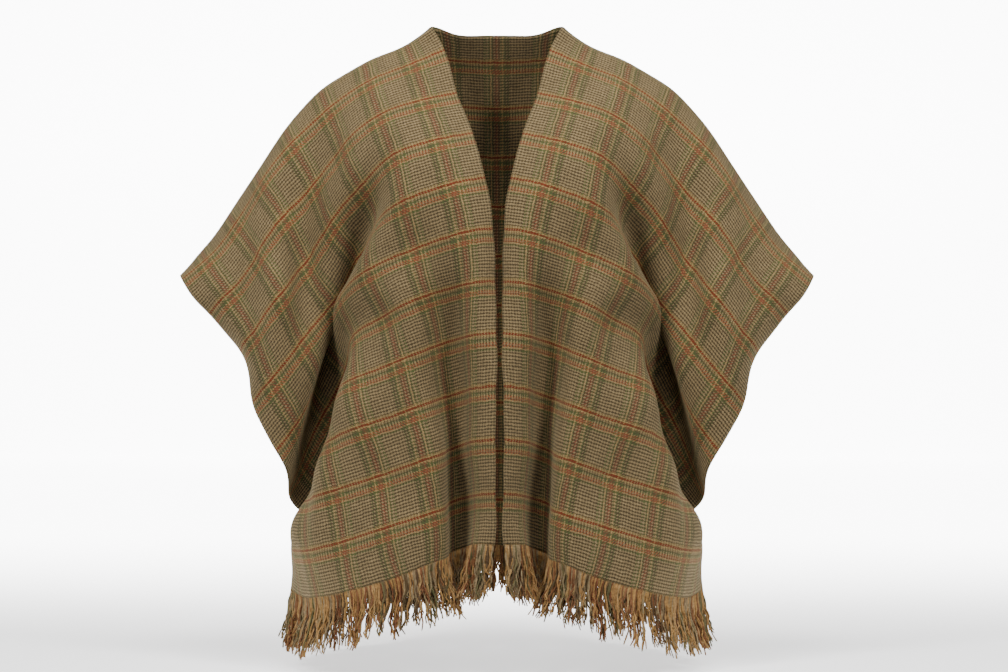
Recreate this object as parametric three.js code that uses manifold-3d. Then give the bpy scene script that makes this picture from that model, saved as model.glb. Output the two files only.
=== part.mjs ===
// Open-front wrap cape in checked wool with a fringed hem, shown filled out as it is worn.
// Millimetres, +Z up, the front faces -Y, the origin lies between the two shoulder seams at neck height.

import * as THREE from 'three';
import Module from 'manifold-3d';

// Cut sizes of the cloth pieces
const frontWidth = 470; // from the open front edge to the cuff edge
const panelLength = 676; // from the shoulder seam to the hem
const neckWidth = 165; // free edge of the back between the two shoulder seams
const clothThickness = 2;
const seamGap = 0.6; // gap left between two pieces that are sewn together
const sideSeamTop = 591.5; // the side seam runs from this distance below the shoulder to the hem

// Fringe sizes
const fringeLength = 62;
const fringeBandHeight = 4;
const fringeBandGap = 0.9; // the band of yarn roots hangs this far below the hem
const yarnRadius = 0.9;
const yarnSides = 3;
const yarnPitch = 9.6;

// Net of cloth used to find the draped shape
const frontCells = 44; // across a front
const neckCells = 16; // across the neck part of the back
const lengthCells = 64; // from shoulder to hem
const netStep = 2; // every second net line becomes a line of the solid
const backLengthStep = 3; // the folds of the back run downwards, so it needs fewer lines across them
const drapeRounds = 260;
const settleRounds = 30; // smoothing after the last pull, so that no fold point leaves a dent
const pullStrength = 0.4; // how firmly a fold point holds the cloth
const depthShare = 0.45; // share of that pull in the depth direction
const stretchShare = 0.9; // woven cloth hardly stretches
const slackShare = 0.12; // but it gives way when it is pushed together
const shearShare = 0.12;
const smoothShare = 0.03;

// Fold points of the left front. Each row is one fold line at a distance u from the front edge.
// Each point is [v down the cloth from the shoulder seam, x, y, z]. Firm rows hold the cloth harder.
const frontFolds = [
  { fold: 'front edge', u: 0, firm: 2.2, points: [[0, -82, -6, 0], [102, -51, -51, -87], [230, -15, -112, -195],
    [294, -7, -126, -256], [358, -4, -137, -320], [422, -3, -153, -382], [486, -3, -165, -445],
    [550, -3, -172, -508], [614, -3, -176, -572], [676, -3, -178, -634]] },
  { fold: 'near lip of the front fold', u: 42, points: [[294, -37, -135, -263], [422, -33, -152, -387],
    [550, -31, -158, -510], [676, -28, -164, -635]] },
  { fold: 'bottom of the front fold', u: 86, points: [[422, -56, -104, -392], [550, -46, -98, -519],
    [676, -42, -98, -645]] },
  { fold: 'far lip of the front fold', u: 132, points: [[422, -84, -139, -402], [550, -60, -146, -526],
    [676, -60, -150, -651]] },
  { fold: 'base of the neck', u: 50, points: [[0, -117, -5, -26]] },
  { fold: 'chest', u: 108, points: [[0, -161, -2, -42], [38, -157, -31, -70], [102, -143, -74, -117],
    [166, -125, -105, -167], [230, -113, -123, -225], [294, -97, -121, -282], [358, -84, -133, -336]] },
  { fold: 'shoulder point', u: 172, points: [[0, -217, 4, -72], [38, -211, -26, -105], [102, -191, -61, -155],
    [166, -166, -81, -204], [230, -148, -86, -253], [294, -155, -113, -307], [358, -128, -121, -361],
    [422, -116, -138, -415], [550, -89, -162, -534], [676, -76, -162, -656]] },
  { fold: 'top of the arm', u: 236, points: [[0, -263, 12, -122], [38, -256, -22, -145], [102, -225, -38, -200],
    [166, -207, -69, -250], [230, -174, -47, -293], [294, -191, -71, -337], [358, -176, -88, -383],
    [422, -170, -113, -437], [550, -137, -143, -552], [676, -114, -168, -672]] },
  { fold: 'arm', u: 300, points: [[0, -303, 16, -183], [38, -296, -18, -196], [102, -262, -53, -238],
    [166, -234, -43, -296], [230, -204, -57, -347], [486, -201, -107, -515], [550, -194, -125, -571],
    [676, -172, -146, -690]] },
  { fold: 'elbow', u: 364, points: [[0, -338, 20, -235], [38, -330, -13, -245], [102, -290, -52, -288],
    [166, -260, -85, -333], [230, -240, -67, -393], [294, -220, -47, -443], [550, -225, -82, -588],
    [676, -218, -102, -702]] },
  { fold: 'cuff fold', u: 428, points: [[0, -371, 23, -279], [38, -363, -10, -288], [102, -330, -50, -334],
    [166, -295, -75, -381], [230, -272, -94, -438], [294, -242, -81, -496], [614, -248, -40, -654]] },
  { fold: 'cuff edge', u: 470, firm: 1.8, points: [[0, -394, 22, -309], [38, -390, -10, -314], [102, -355, -34, -356],
    [166, -314, -56, -401], [198, -301, -62, -430], [230, -301, -78, -481], [294, -268, -90, -540],
    [358, -258, -62, -588],
    [410, -256, -38, -622], [602, -254, 0, -630], [640, -255, 0, -668], [676, -257, 0, -703]] },
  { fold: 'side below the sleeve', u: 438, points: [[576, -248, -38, -614], [640, -251, -28, -672]] },
  { fold: 'body side of the sleeve fold', u: 271, points: [[422, -196, -96, -452]] },
  { fold: 'body side of the sleeve fold', u: 318, points: [[486, -212, -90, -522]] },
  { fold: 'body side of the sleeve fold', u: 388, points: [[550, -236, -58, -594]] },
  { fold: 'inside the sleeve fold', u: 300, points: [[294, -213, -27, -380], [358, -187, -41, -425]] },
  { fold: 'inside the sleeve fold', u: 364, points: [[358, -213, -28, -480]] },
  { fold: 'inside the sleeve fold', u: 428, points: [[358, -238, -44, -540]] },
  { fold: 'root of the sleeve fold', u: 335, points: [[400, -168, -40, -473]] },
  { fold: 'root of the sleeve fold', u: 400, points: [[440, -155, -44, -547]] },
  { fold: 'root of the sleeve fold', u: 470, firm: 1.6, points: [[492, -172, -42, -604], [548, -208, -24, -616]] },
];

// The right front hangs like the left one turned over, but for these small differences.
// Each row moves the points near u and v by x and z.
const rightDifferences = [
  { place: 'front edge below the chest', u: 0, v: 520, reachU: 90, reachV: 300, x: 8, z: 0 },
  { place: 'far lip of the front fold', u: 120, v: 560, reachU: 60, reachV: 200, x: 7, z: -3 },
  { place: 'cuff edge', u: 470, v: 166, reachU: 90, reachV: 90, x: 7, z: 0 },
  { place: 'body side of the sleeve fold', u: 318, v: 486, reachU: 90, reachV: 90, x: -4, z: 3 },
  { place: 'chest', u: 150, v: 230, reachU: 90, reachV: 110, x: 3, z: -4 },
];

// Fold points of the left half of the back, u measured from the middle of the back.
const backFolds = [
  { fold: 'middle of the back', u: 0, points: [[0, 0, 28, -9], [60, 0, 58, -61], [150, 0, 92, -144],
    [300, 0, 120, -291], [450, 0, 146, -439], [676, 0, 172, -662]] },
  { fold: 'first hollow', u: 72, points: [[150, -66, 84, -144], [300, -58, 96, -292], [450, -46, 102, -440],
    [676, -32, 108, -663]] },
  { fold: 'first ridge', u: 122, points: [[150, -110, 83, -148], [300, -97, 112, -295], [450, -76, 134, -442],
    [676, -55, 154, -666]] },
  { fold: 'second hollow', u: 176, points: [[150, -147, 70, -158], [300, -132, 92, -303], [450, -110, 96, -448],
    [676, -84, 106, -670]] },
  { fold: 'second ridge', u: 250, points: [[102, -194, 60, -150], [166, -184, 82, -204], [300, -172, 108, -320],
    [450, -148, 140, -461], [676, -118, 172, -678]] },
  { fold: 'third hollow', u: 318.5, points: [[38, -252, 44, -144], [102, -228, 64, -197], [166, -208, 76, -250],
    [300, -197, 66, -350], [450, -178, 94, -478], [676, -148, 112, -687]] },
  { fold: 'third ridge', u: 382.5, points: [[38, -296, 50, -196], [102, -262, 72, -240], [166, -236, 74, -295],
    [230, -214, 66, -344], [486, -204, 112, -517], [676, -180, 150, -692]] },
  { fold: 'back of the elbow', u: 446.5, points: [[38, -330, 53, -245], [102, -291, 80, -290],
    [166, -261, 94, -337], [230, -240, 82, -395], [294, -221, 58, -445], [550, -226, 84, -588],
    [676, -218, 104, -703]] },
  { fold: 'back cuff fold', u: 510.5, points: [[38, -363, 56, -288], [102, -328, 82, -335], [166, -293, 94, -384],
    [230, -270, 98, -441], [294, -242, 84, -497], [614, -248, 40, -655]] },
  { fold: 'back cuff edge', u: 552.5, points: [[38, -388, 54, -316], [102, -352, 76, -362], [166, -311, 84, -408],
    [230, -292, 88, -474], [294, -266, 86, -534], [358, -257, 62, -586],
    [410, -255, 40, -622], [602, -254, 0, -630], [676, -257, 0, -703]] },
  { fold: 'back side below the sleeve', u: 520.5, points: [[576, -248, 38, -614], [640, -251, 28, -673]] },
  { fold: 'inside the back sleeve fold', u: 382.5, points: [[294, -213, 36, -382], [358, -190, 46, -426]] },
  { fold: 'inside the back sleeve fold', u: 446.5, points: [[358, -213, 36, -480]] },
  { fold: 'inside the back sleeve fold', u: 510.5, points: [[358, -238, 48, -540]] },
  { fold: 'root of the back sleeve fold', u: 482.5, points: [[440, -176, 60, -545]] },
  { fold: 'root of the back sleeve fold', u: 552.5, firm: 1.6, points: [[492, -174, 48, -604], [548, -208, 28, -616]] },
];

// Small vector helpers
function mix(a, b, t) {
  return a + (b - a) * t;
}

function gather(folds) {
  const list = [];
  for (const row of folds) {
    for (const [v, x, y, z] of row.points) {
      list.push({ u: row.u, v, at: [x, y, z], firm: row.firm ?? 1 });
    }
  }
  return list;
}

function mirrored(points, differences) {
  return points.map((point) => {
    let x = -point.at[0];
    let z = point.at[2];
    for (const row of differences) {
      const far = ((point.u - row.u) / row.reachU) ** 2 + ((point.v - row.v) / row.reachV) ** 2;
      x += row.x * Math.exp(-far);
      z += row.z * Math.exp(-far);
    }
    return { u: point.u, v: point.v, at: [x, point.at[1], z], firm: point.firm };
  });
}

function evenLine(from, to, cells) {
  return Array.from({ length: cells + 1 }, (unused, i) => mix(from, to, i / cells));
}

// First shape: a smooth thin sheet through all the fold points
function bend(r) {
  return r * r * Math.log(r + 1e-9);
}

function solve(matrix, right) {
  const n = matrix.length;
  const width = right[0].length;
  for (let col = 0; col < n; col += 1) {
    let best = col;
    for (let row = col + 1; row < n; row += 1) {
      if (Math.abs(matrix[row][col]) > Math.abs(matrix[best][col])) {
        best = row;
      }
    }
    [matrix[col], matrix[best]] = [matrix[best], matrix[col]];
    [right[col], right[best]] = [right[best], right[col]];
    for (let row = col + 1; row < n; row += 1) {
      const share = matrix[row][col] / matrix[col][col];
      for (let k = col; k < n; k += 1) {
        matrix[row][k] -= share * matrix[col][k];
      }
      for (let k = 0; k < width; k += 1) {
        right[row][k] -= share * right[col][k];
      }
    }
  }
  const out = right.map((row) => row.slice());
  for (let row = n - 1; row >= 0; row -= 1) {
    for (let k = 0; k < width; k += 1) {
      let sum = right[row][k];
      for (let col = row + 1; col < n; col += 1) {
        sum -= matrix[row][col] * out[col][k];
      }
      out[row][k] = sum / matrix[row][row];
    }
  }
  return out;
}

function firstSheet(points, lineU, lineV) {
  const softness = 200;
  const n = points.length;
  const matrix = Array.from({ length: n + 3 }, () => new Array(n + 3).fill(0));
  const right = Array.from({ length: n + 3 }, () => [0, 0, 0]);
  points.forEach((a, i) => {
    points.forEach((b, j) => {
      matrix[i][j] = bend(Math.hypot(a.u - b.u, a.v - b.v)) + (i === j ? softness : 0);
    });
    const flat = [1, a.u, a.v];
    for (let k = 0; k < 3; k += 1) {
      matrix[i][n + k] = flat[k];
      matrix[n + k][i] = flat[k];
    }
    right[i] = a.at.slice();
  });
  const weights = solve(matrix, right);
  return lineU.map((u) => lineV.map((v) => {
    const flat = [1, u, v];
    return [0, 1, 2].map((axis) => {
      let sum = 0;
      points.forEach((a, i) => {
        sum += weights[i][axis] * bend(Math.hypot(u - a.u, v - a.v));
      });
      for (let k = 0; k < 3; k += 1) {
        sum += weights[n + k][axis] * flat[k];
      }
      return sum;
    });
  }));
}

// Draping: the net keeps its woven lengths while the fold points and the pinned seams hold it
function keepLength(a, b, length, share) {
  const d = [b[0] - a[0], b[1] - a[1], b[2] - a[2]];
  const now = Math.max(Math.hypot(d[0], d[1], d[2]), 1e-6);
  const half = ((now - length) / now) * 0.5 * share * (now > length ? 1 : slackShare);
  for (let k = 0; k < 3; k += 1) {
    a[k] += d[k] * half;
    b[k] -= d[k] * half;
  }
}

function smooth(net, share) {
  const rows = net.length;
  const cols = net[0].length;
  const sag = net.map((row) => row.map(() => [0, 0, 0]));
  const add = (to, i, j, from, p, q, r) => {
    for (let k = 0; k < 3; k += 1) {
      to[i][j][k] += from[p[0]][p[1]][k] + from[r[0]][r[1]][k] - 2 * from[q[0]][q[1]][k];
    }
  };
  for (let i = 0; i < rows; i += 1) {
    for (let j = 0; j < cols; j += 1) {
      if (i > 0 && i < rows - 1) {
        add(sag, i, j, net, [i - 1, j], [i, j], [i + 1, j]);
      }
      if (j > 0 && j < cols - 1) {
        add(sag, i, j, net, [i, j - 1], [i, j], [i, j + 1]);
      }
    }
  }
  const change = net.map((row) => row.map(() => [0, 0, 0]));
  for (let i = 0; i < rows; i += 1) {
    for (let j = 0; j < cols; j += 1) {
      if (i > 0 && i < rows - 1) {
        add(change, i, j, sag, [i - 1, j], [i, j], [i + 1, j]);
      }
      if (j > 0 && j < cols - 1) {
        add(change, i, j, sag, [i, j - 1], [i, j], [i, j + 1]);
      }
    }
  }
  net.forEach((row, i) => row.forEach((p, j) => {
    for (let k = 0; k < 3; k += 1) {
      p[k] -= share * change[i][j][k];
    }
  }));
}

function drape(points, lineU, lineV, pins) {
  const net = firstSheet(points, lineU, lineV);
  const rows = lineU.length;
  const cols = lineV.length;
  const find = (line, value) => {
    let i = 0;
    while (i < line.length - 2 && line[i + 1] <= value) {
      i += 1;
    }
    return [i, (value - line[i]) / (line[i + 1] - line[i])];
  };
  const held = points.map((point) => {
    const [i, a] = find(lineU, point.u);
    const [j, b] = find(lineV, point.v);
    const corners = [[i, j, (1 - a) * (1 - b)], [i + 1, j, a * (1 - b)], [i, j + 1, (1 - a) * b], [i + 1, j + 1, a * b]];
    return { at: point.at, corners, firm: point.firm };
  });
  for (let round = 0; round < drapeRounds; round += 1) {
    const pull = round < drapeRounds / 2 ? pullStrength : pullStrength * 0.5;
    const moves = held.map((hold) => [0, 1, 2].map((k) => {
      let now = 0;
      for (const [i, j, share] of hold.corners) {
        now += share * net[i][j][k];
      }
      return (hold.at[k] - now) * pull * hold.firm * (k === 1 ? depthShare : 1);
    }));
    held.forEach((hold, n) => {
      for (const [i, j, share] of hold.corners) {
        for (let k = 0; k < 3; k += 1) {
          net[i][j][k] += moves[n][k] * share;
        }
      }
    });
    smooth(net, smoothShare);
    for (let again = 0; again < 3; again += 1) {
      for (const start of [0, 1]) {
        for (let i = start; i < rows - 1; i += 2) {
          for (let j = 0; j < cols; j += 1) {
            keepLength(net[i][j], net[i + 1][j], lineU[i + 1] - lineU[i], stretchShare);
          }
        }
        for (let j = start; j < cols - 1; j += 2) {
          for (let i = 0; i < rows; i += 1) {
            keepLength(net[i][j], net[i][j + 1], lineV[j + 1] - lineV[j], stretchShare);
          }
        }
      }
      for (const start of [0, 1]) {
        for (let i = start; i < rows - 1; i += 2) {
          for (let j = 0; j < cols - 1; j += 1) {
            const slant = Math.hypot(lineU[i + 1] - lineU[i], lineV[j + 1] - lineV[j]);
            keepLength(net[i][j], net[i + 1][j + 1], slant, shearShare);
          }
          for (let j = 0; j < cols - 1; j += 1) {
            const slant = Math.hypot(lineU[i + 1] - lineU[i], lineV[j + 1] - lineV[j]);
            keepLength(net[i][j + 1], net[i + 1][j], slant, shearShare);
          }
        }
      }
    }
    for (const { i, j, at } of pins) {
      net[i][j] = at.slice();
    }
  }
  for (let round = 0; round < settleRounds; round += 1) {
    smooth(net, smoothShare);
    for (const { i, j, at } of pins) {
      net[i][j] = at.slice();
    }
  }
  return net;
}

// The three draped nets
const lineV = evenLine(0, panelLength, lengthCells);
const lineU = evenLine(0, frontWidth, frontCells);
const halfNeck = neckWidth / 2;
const backLine = [
  ...evenLine(-halfNeck - frontWidth, -halfNeck, frontCells),
  ...evenLine(-halfNeck, halfNeck, neckCells).slice(1),
  ...evenLine(halfNeck, halfNeck + frontWidth, frontCells).slice(1),
];
const sideStart = lineV.findIndex((v) => v >= sideSeamTop - 1);

const leftPoints = gather(frontFolds);
const leftNet = drape(leftPoints, lineU, lineV, []);
const rightNet = drape(mirrored(leftPoints, rightDifferences), lineU, lineV, []);

const halfBack = gather(backFolds);
const backPoints = [
  ...halfBack.map((p) => ({ u: -p.u, v: p.v, at: p.at, firm: p.firm })),
  ...mirrored(halfBack.filter((p) => p.u > 0), []),
];
const seamPins = [];
for (let i = 0; i <= frontCells; i += 1) {
  seamPins.push({ i: frontCells - i, j: 0, at: leftNet[i][0] });
  seamPins.push({ i: frontCells + neckCells + i, j: 0, at: rightNet[i][0] });
}
for (let j = sideStart; j <= lengthCells; j += 1) {
  seamPins.push({ i: 0, j, at: leftNet[frontCells][j] });
  seamPins.push({ i: backLine.length - 1, j, at: rightNet[frontCells][j] });
}
const backNet = drape(backPoints, backLine, lineV, seamPins);

// Outward normals of a net, the side that faces away from the wearer
function normalsOf(net, turn) {
  const rows = net.length;
  const cols = net[0].length;
  return net.map((row, i) => row.map((p, j) => {
    const a = new THREE.Vector3(...net[Math.min(i + 1, rows - 1)][j]).sub(new THREE.Vector3(...net[Math.max(i - 1, 0)][j]));
    const b = new THREE.Vector3(...net[i][Math.min(j + 1, cols - 1)]).sub(new THREE.Vector3(...net[i][Math.max(j - 1, 0)]));
    return a.cross(b).multiplyScalar(turn).normalize();
  }));
}

const leftNormals = normalsOf(leftNet, 1);
const rightNormals = normalsOf(rightNet, -1);
const backNormals = normalsOf(backNet, 1);

// Pieces that meet at a seam share one normal there, and each draws back from the seam by half the gap
function shareNormal(listA, a, listB, b) {
  const both = listA[a[0]][a[1]].clone().add(listB[b[0]][b[1]]).normalize();
  listA[a[0]][a[1]] = both.clone();
  listB[b[0]][b[1]] = both.clone();
}

for (let i = 0; i <= frontCells; i += 1) {
  shareNormal(leftNormals, [i, 0], backNormals, [frontCells - i, 0]);
  shareNormal(rightNormals, [i, 0], backNormals, [frontCells + neckCells + i, 0]);
}
for (let j = sideStart; j <= lengthCells; j += 1) {
  shareNormal(leftNormals, [frontCells, j], backNormals, [0, j]);
  shareNormal(rightNormals, [frontCells, j], backNormals, [backLine.length - 1, j]);
}

function drawBack(net, i, j, towardI, towardJ) {
  const from = new THREE.Vector3(...net[i][j]);
  const way = new THREE.Vector3(...net[towardI][towardJ]).sub(from).normalize();
  net[i][j] = from.addScaledVector(way, seamGap / 2).toArray();
}

for (const net of [leftNet, rightNet]) {
  for (let i = 0; i <= frontCells; i += 1) {
    drawBack(net, i, 0, i, 1);
  }
  for (let j = sideStart; j <= lengthCells; j += 1) {
    drawBack(net, frontCells, j, frontCells - 1, j);
  }
}
for (let i = 0; i < backLine.length; i += 1) {
  if (i <= frontCells || i >= frontCells + neckCells) {
    drawBack(backNet, i, 0, i, 1);
  }
}
for (let j = sideStart; j <= lengthCells; j += 1) {
  drawBack(backNet, 0, j, 1, j);
  drawBack(backNet, backLine.length - 1, j, backLine.length - 2, j);
}

// A closed wall on both sides of a net. Its triangles lie along the folds that run from the shoulders
// down to the cuffs, so they turn over at the middle line of the back.
function wall(net, normals, turn, lengthStep, middle) {
  const half = clothThickness / 2;
  const pick = (count, step) => {
    const list = [];
    let i = 0;
    while (i < count) {
      list.push(i);
      i = i < sideStart ? Math.min(i + step, sideStart) : i + netStep;
    }
    return list;
  };
  const rows = pick(net.length, netStep);
  const cols = pick(net[0].length, lengthStep);
  const positions = [];
  for (const side of [half, -half]) {
    for (const i of rows) {
      for (const j of cols) {
        const p = new THREE.Vector3(...net[i][j]).addScaledVector(normals[i][j], side);
        positions.push(p.x, p.y, p.z);
      }
    }
  }
  const width = cols.length;
  const layer = rows.length * width;
  const at = (side, i, j) => side * layer + i * width + j;
  const faces = [];
  const quad = (a, b, c, d) => {
    const order = turn > 0 ? [a, b, c, a, c, d] : [a, c, b, a, d, c];
    faces.push(...order);
  };
  for (let i = 0; i < rows.length - 1; i += 1) {
    for (let j = 0; j < width - 1; j += 1) {
      const shift = rows[i] < middle ? 1 : 0;
      const outer = [at(0, i, j), at(0, i + 1, j), at(0, i + 1, j + 1), at(0, i, j + 1)];
      const inner = [at(1, i, j), at(1, i, j + 1), at(1, i + 1, j + 1), at(1, i + 1, j)];
      quad(...[0, 1, 2, 3].map((k) => outer[(k + shift) % 4]));
      quad(...[0, 1, 2, 3].map((k) => inner[(k + shift) % 4]));
    }
  }
  const rim = [];
  for (let i = 0; i < rows.length - 1; i += 1) {
    rim.push([i, 0]);
  }
  for (let j = 0; j < width - 1; j += 1) {
    rim.push([rows.length - 1, j]);
  }
  for (let i = rows.length - 1; i > 0; i -= 1) {
    rim.push([i, width - 1]);
  }
  for (let j = width - 1; j > 0; j -= 1) {
    rim.push([0, j]);
  }
  rim.forEach((p, n) => {
    const q = rim[(n + 1) % rim.length];
    quad(at(0, ...p), at(1, ...p), at(1, ...q), at(0, ...q));
  });
  const geometry = new THREE.BufferGeometry();
  geometry.setAttribute('position', new THREE.Float32BufferAttribute(positions, 3));
  geometry.setIndex(faces);
  return geometry;
}

// Fringe: a narrow band of yarn roots below the hem, with loose yarns fused into it
const wasm = await Module();
wasm.setup();
const { Manifold, Mesh } = wasm;

function solidOf(geometry) {
  const mesh = new Mesh({
    numProp: 3,
    vertProperties: new Float32Array(geometry.getAttribute('position').array),
    triVerts: new Uint32Array(geometry.getIndex().array),
  });
  return new Manifold(mesh);
}

function geometryOf(solid) {
  const mesh = solid.getMesh();
  const positions = [];
  for (let i = 0; i < mesh.vertProperties.length; i += mesh.numProp) {
    positions.push(mesh.vertProperties[i], mesh.vertProperties[i + 1], mesh.vertProperties[i + 2]);
  }
  const geometry = new THREE.BufferGeometry();
  geometry.setAttribute('position', new THREE.Float32BufferAttribute(positions, 3));
  geometry.setIndex(Array.from(mesh.triVerts));
  return geometry;
}

function ringsToGeometry(rings) {
  const sides = rings[0].length;
  const positions = [];
  const faces = [];
  for (const ring of rings) {
    for (const p of ring) {
      positions.push(p.x, p.y, p.z);
    }
  }
  for (let r = 0; r < rings.length - 1; r += 1) {
    for (let s = 0; s < sides; s += 1) {
      const a = r * sides + s;
      const b = r * sides + ((s + 1) % sides);
      faces.push(a, b, b + sides, a, b + sides, a + sides);
    }
  }
  for (let s = 1; s < sides - 1; s += 1) {
    faces.push(0, s + 1, s);
    const top = (rings.length - 1) * sides;
    faces.push(top, top + s, top + s + 1);
  }
  const geometry = new THREE.BufferGeometry();
  geometry.setAttribute('position', new THREE.Float32BufferAttribute(positions, 3));
  geometry.setIndex(faces);
  return geometry;
}

function ringSolid(rings) {
  const solid = solidOf(ringsToGeometry(rings));
  if (solid.volume() > 0) {
    return solid;
  }
  return solidOf(ringsToGeometry(rings.map((ring) => ring.slice().reverse())));
}

// Sways repeat in the same way each time, so the fringe is always the same
function sway(n, rate) {
  return Math.sin(n * rate) * 0.6 + Math.sin(n * rate * 2.7 + 1.3) * 0.4;
}

function fringe(net, normals, startInset, endInset) {
  const last = net[0].length - 1;
  const line = [];
  for (let i = 0; i < net.length; i += netStep) {
    const hem = new THREE.Vector3(...net[i][last]);
    const above = new THREE.Vector3(...net[i][last - 1]);
    const down = hem.clone().sub(above).normalize();
    line.push({ hem, down, out: normals[i][last].clone() });
  }
  const lengths = [0];
  for (let i = 1; i < line.length; i += 1) {
    lengths.push(lengths[i - 1] + line[i].hem.distanceTo(line[i - 1].hem));
  }
  const total = lengths[lengths.length - 1];
  const along = (s) => {
    let i = 0;
    while (i < line.length - 2 && lengths[i + 1] < s) {
      i += 1;
    }
    const t = (s - lengths[i]) / (lengths[i + 1] - lengths[i]);
    return {
      hem: line[i].hem.clone().lerp(line[i + 1].hem, t),
      down: line[i].down.clone().lerp(line[i + 1].down, t).normalize(),
      out: line[i].out.clone().lerp(line[i + 1].out, t).normalize(),
    };
  };
  const rings = [];
  const places = lengths.filter((s) => s > startInset && s < total - endInset);
  for (const s of [startInset, ...places, total - endInset]) {
    const { hem, down, out } = along(s);
    const top = hem.clone().addScaledVector(down, fringeBandGap);
    const low = hem.clone().addScaledVector(down, fringeBandGap + fringeBandHeight);
    const side = out.clone().multiplyScalar(clothThickness / 2);
    rings.push([top.clone().add(side), top.clone().sub(side), low.clone().sub(side), low.clone().add(side)]);
  }
  const parts = [ringSolid(rings)];
  const count = Math.floor((total - startInset - endInset) / yarnPitch);
  const gravity = new THREE.Vector3(0, 0, -1);
  for (let n = 0; n < count; n += 1) {
    const s = startInset + (n + 0.5) * ((total - startInset - endInset) / count);
    const { hem, down, out } = along(s);
    const ahead = along(Math.min(s + 2, total)).hem.sub(along(Math.max(s - 2, 0)).hem).normalize();
    const root = hem.clone().addScaledVector(down, fringeBandGap + fringeBandHeight * 0.5);
    const length = fringeLength + 5 * sway(n, 1.9) - fringeBandHeight;
    const strand = [];
    const steps = [0, 1];
    for (const t of steps) {
      const hang = down.clone().lerp(gravity, Math.min(1, t * 1.6)).normalize();
      const p = root.clone().addScaledVector(hang, t * length);
      p.addScaledVector(ahead, t * 2.4 * sway(n, 2.3));
      p.addScaledVector(out, t * 3.5 * sway(n, 1.1));
      const ring = [];
      for (let k = 0; k < yarnSides; k += 1) {
        const turn = (k / yarnSides) * Math.PI * 2;
        const radius = yarnRadius * (1 + t * (1 - t));
        ring.push(p.clone().addScaledVector(ahead, Math.cos(turn) * radius)
          .addScaledVector(out, Math.sin(turn) * radius));
      }
      strand.push(ring);
    }
    parts.push(ringSolid(strand));
  }
  return geometryOf(Manifold.union(parts));
}

// Group of named pieces
const tweed = new THREE.MeshStandardMaterial({ name: 'tweed', color: 0x7a6a4a, roughness: 0.95, metalness: 0 });
const yarn = new THREE.MeshStandardMaterial({ name: 'fringe_yarn', color: 0x9a7448, roughness: 0.95, metalness: 0 });

const group = new THREE.Group();
group.name = 'open_front_cape';

function addPiece(name, geometry, material) {
  const mesh = new THREE.Mesh(geometry, material);
  mesh.name = name;
  group.add(mesh);
}

addPiece('front_left', wall(leftNet, leftNormals, 1, netStep, 0), tweed);
addPiece('front_right', wall(rightNet, rightNormals, -1, netStep, 0), tweed);
addPiece('back', wall(backNet, backNormals, 1, backLengthStep, (backLine.length - 1) / 2), tweed);
addPiece('fringe_front_left', fringe(leftNet, leftNormals, 2, 3), yarn);
addPiece('fringe_front_right', fringe(rightNet, rightNormals, 2, 3), yarn);
addPiece('fringe_back', fringe(backNet, backNormals, 3, 3), yarn);

export default group;
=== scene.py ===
# %% [markdown]
# # Open-front cape in checked wool
#
# The real garment is three rectangles of woven wool tweed: a left front, a right front and a back. They are
# sewn along the shoulders and for a hand's width up each side, and the warp ends are left loose as a fringe.
# This notebook dresses the plain solids of the frame with thin cloth that lies on the same form.
#
# The frame is loaded first, because every piece is placed against it.

import math

import bpy
import numpy as np
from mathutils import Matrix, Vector


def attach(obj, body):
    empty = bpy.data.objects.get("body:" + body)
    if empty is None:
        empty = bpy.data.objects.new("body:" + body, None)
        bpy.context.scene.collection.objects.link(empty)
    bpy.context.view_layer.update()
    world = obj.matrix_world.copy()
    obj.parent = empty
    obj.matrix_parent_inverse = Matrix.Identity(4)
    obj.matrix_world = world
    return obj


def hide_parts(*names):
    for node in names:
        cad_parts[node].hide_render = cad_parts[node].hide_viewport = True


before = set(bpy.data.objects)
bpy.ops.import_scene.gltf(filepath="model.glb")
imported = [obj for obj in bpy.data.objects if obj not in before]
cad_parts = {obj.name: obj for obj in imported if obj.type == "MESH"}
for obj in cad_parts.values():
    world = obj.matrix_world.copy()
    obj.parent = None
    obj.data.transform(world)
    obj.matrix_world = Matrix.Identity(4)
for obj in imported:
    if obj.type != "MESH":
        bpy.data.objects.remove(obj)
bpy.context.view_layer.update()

# %% [markdown]
# ## Cut sizes
#
# Cloth is easiest to think of flat, as it was cut. Every point of a panel has two flat coordinates: u runs
# from the open front edge to the cuff, and v runs down from the shoulder seam to the hem. The back measures
# u from its middle. All shapes below are worked out in millimetres and turned into metres at the end.

# %% Cut sizes in millimetres
FRONT_WIDTH = 470.0
PANEL_LENGTH = 676.0
NECK_WIDTH = 165.0
HALF_THICKNESS = 0.9
SIDE_SEAM_TOP = 591.5
FRINGE_LENGTH = 63.0
FRONT_CELLS = 44
NECK_CELLS = 16
LENGTH_CELLS = 64
print("flat cloth, square metres", (2 * FRONT_WIDTH + 2 * FRONT_WIDTH + NECK_WIDTH) * PANEL_LENGTH / 1e6)
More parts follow.
